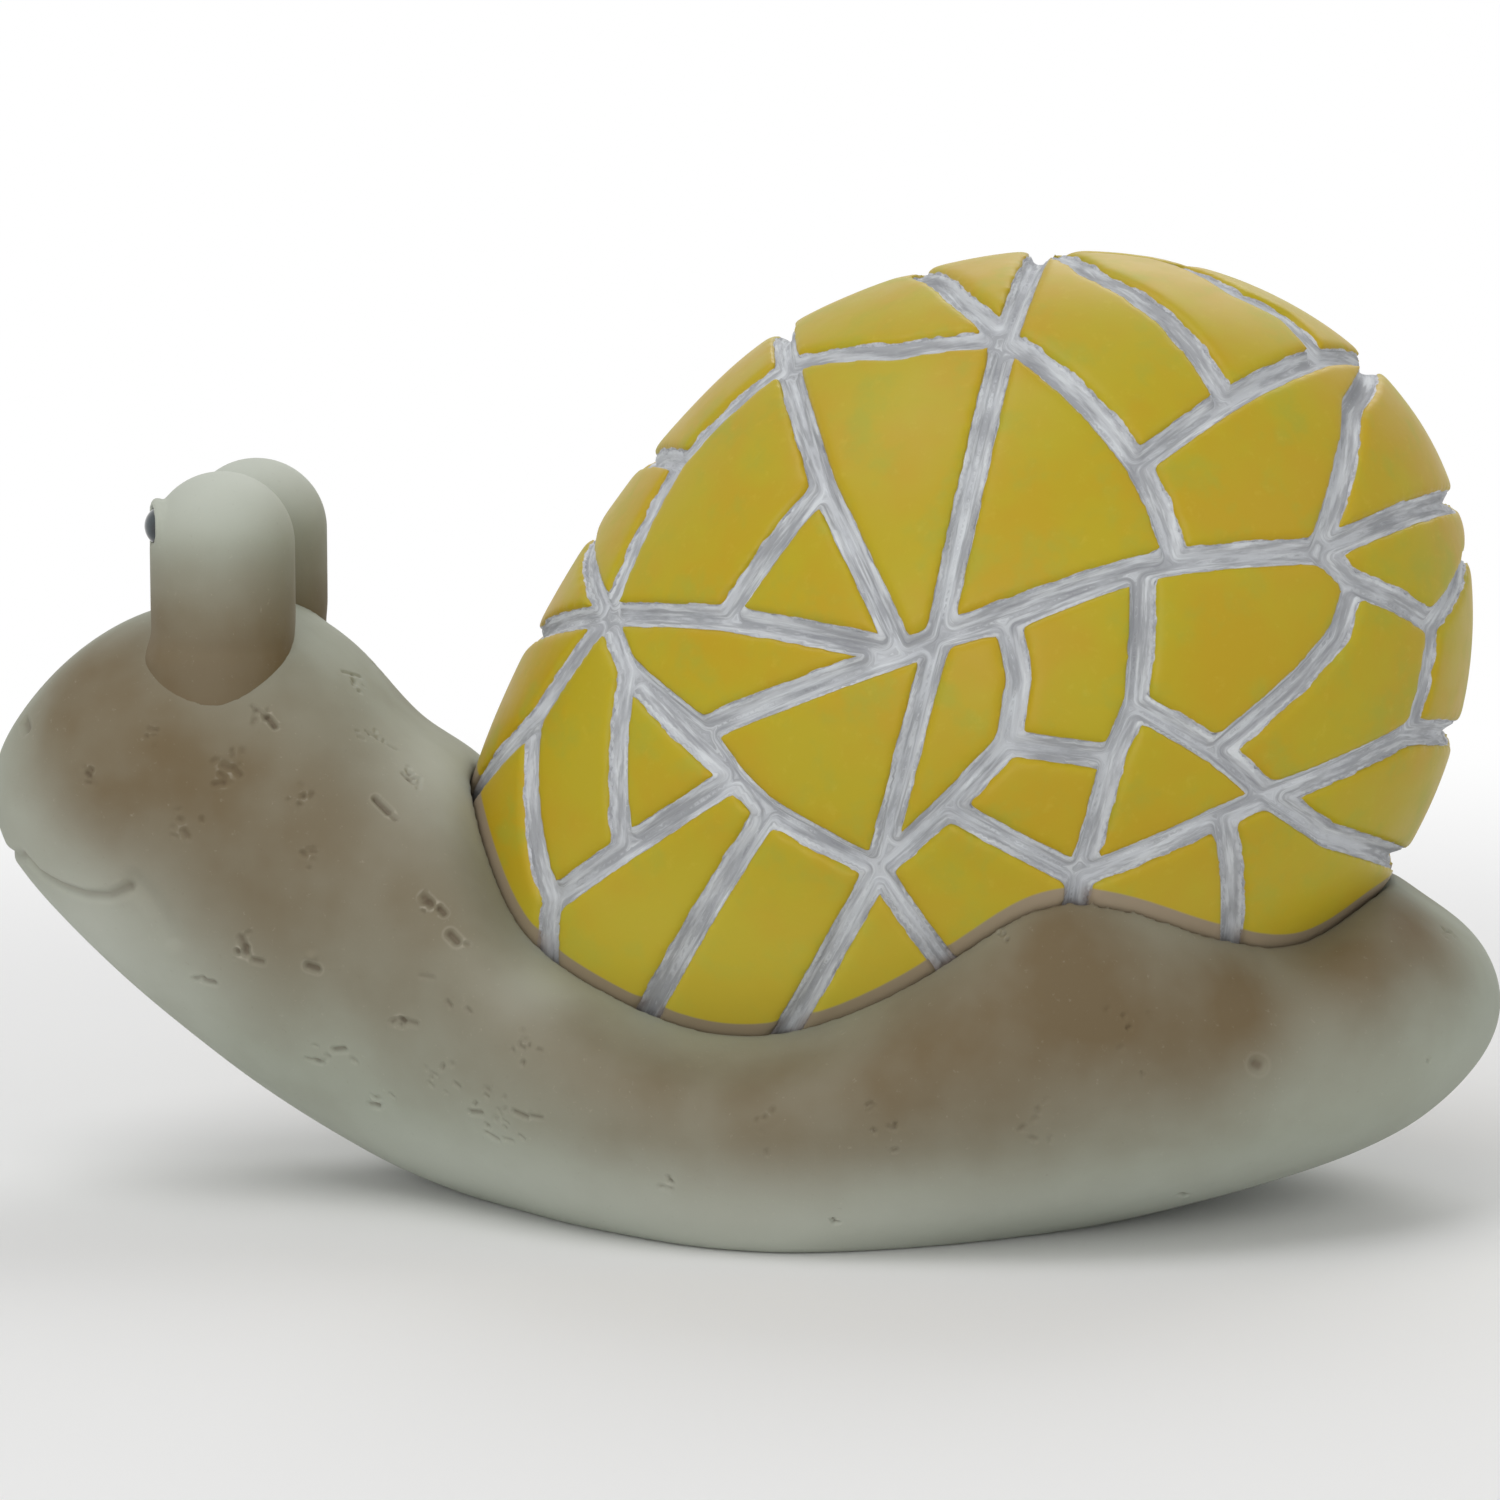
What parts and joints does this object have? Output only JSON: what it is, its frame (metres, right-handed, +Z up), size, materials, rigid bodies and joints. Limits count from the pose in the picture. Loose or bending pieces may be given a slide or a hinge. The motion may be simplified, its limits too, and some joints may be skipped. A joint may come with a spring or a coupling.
{
  "type": "snail figurine",
  "caption": "Garden snail figurine with a raised head, eye stalks and an egg-shaped shell covered in crazy-paving mosaic.",
  "frame": {"origin": "centre of the bounding box's bottom, on the surface that the snail stands on", "axes": "+X from the head to the tail, +Y to the snail's right side, +Z up"},
  "size_m": [0.24, 0.117, 0.1496],
  "materials": {
    "taupe_resin": "matte cast resin, airbrushed brown in its hollows",
    "base_resin": "matte cast resin",
    "core_resin": "matte cast resin",
    "grout": "matte brushed grout",
    "yellow_tile": "satin yellow with olive and orange mottling",
    "black_bead": "glossy black",
    "pin_steel": "plain steel"
  },
  "bodies": {
    "root": {"base_plate": "base_resin", "body": "taupe_resin", "eye_bead_left": "black_bead", "eye_bead_right": "black_bead", "eye_stalk_left": "taupe_resin", "eye_stalk_right": "taupe_resin", "mosaic_tile_01": "yellow_tile", "mosaic_tile_02": "yellow_tile", "mosaic_tile_03": "yellow_tile", "mosaic_tile_04": "yellow_tile", "mosaic_tile_05": "yellow_tile", "mosaic_tile_06": "yellow_tile", "mosaic_tile_07": "yellow_tile", "mosaic_tile_08": "yellow_tile", "mosaic_tile_09": "yellow_tile", "mosaic_tile_10": "yellow_tile", "mosaic_tile_11": "yellow_tile", "mosaic_tile_12": "yellow_tile", "mosaic_tile_13": "yellow_tile", "mosaic_tile_14": "yellow_tile", "mosaic_tile_15": "yellow_tile", "mosaic_tile_16": "yellow_tile", "mosaic_tile_17": "yellow_tile", "mosaic_tile_18": "yellow_tile", "mosaic_tile_19": "yellow_tile", "mosaic_tile_20": "yellow_tile", "mosaic_tile_21": "yellow_tile", "mosaic_tile_22": "yellow_tile", "mosaic_tile_23": "yellow_tile", "mosaic_tile_24": "yellow_tile", "mosaic_tile_25": "yellow_tile", "mosaic_tile_26": "yellow_tile", "mosaic_tile_27": "yellow_tile", "mosaic_tile_28": "yellow_tile", "mosaic_tile_29": "yellow_tile", "mosaic_tile_30": "yellow_tile", "mosaic_tile_31": "yellow_tile", "mosaic_tile_32": "yellow_tile", "mosaic_tile_33": "yellow_tile", "mosaic_tile_34": "yellow_tile", "mosaic_tile_35": "yellow_tile", "shell_core": "core_resin", "shell_dowel_front": "pin_steel", "shell_dowel_rear": "pin_steel", "shell_grout": "grout", "stalk_pin_left": "pin_steel", "stalk_pin_right": "pin_steel"}
  },
  "joints": []
}
